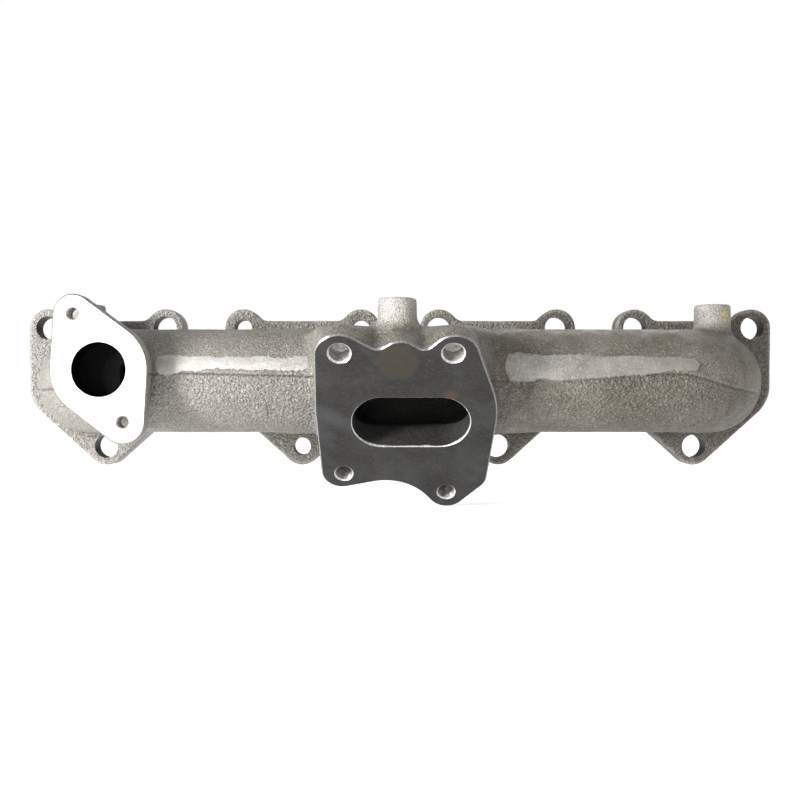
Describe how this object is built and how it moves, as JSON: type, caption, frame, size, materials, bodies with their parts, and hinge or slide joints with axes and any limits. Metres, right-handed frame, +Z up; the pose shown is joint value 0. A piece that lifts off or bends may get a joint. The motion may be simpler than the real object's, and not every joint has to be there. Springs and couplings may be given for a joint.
{
  "type": "exhaust manifold",
  "caption": "Cast iron log exhaust manifold: separate port flanges, tilted oblong turbine flange, bolted gas recirculation take-off and upright bosses.",
  "frame": {"origin": "on the cylinder head face, half-way along the manifold, on the line of the upper head bolts", "axes": "+X along the manifold, +Y into the cylinder head, +Z up as fitted"},
  "size_m": [0.493, 0.128, 0.1282],
  "materials": {
    "cast_iron": "as-cast, sand grain",
    "machined_flange": "machined face, dulled, over cast sides",
    "bright_flange": "freshly machined, bright matt",
    "ground_band": "ground flat"
  },
  "bodies": {
    "root": {"gallery_left": "cast_iron", "gallery_centre": "cast_iron", "gallery_right": "cast_iron", "end_elbow_left": "cast_iron", "end_elbow_right": "cast_iron", "port_runner_2": "cast_iron", "port_runner_3": "cast_iron", "head_flange_1": "cast_iron", "head_flange_2": "cast_iron", "head_flange_3": "cast_iron", "head_flange_4": "cast_iron", "turbo_flange": "machined_flange", "turbo_neck": "cast_iron", "egr_flange": "bright_flange", "egr_neck": "cast_iron", "boss_left": "cast_iron", "boss_centre": "cast_iron", "boss_right": "cast_iron", "parting_band_left": "ground_band", "parting_band_right": "ground_band"}
  },
  "joints": []
}
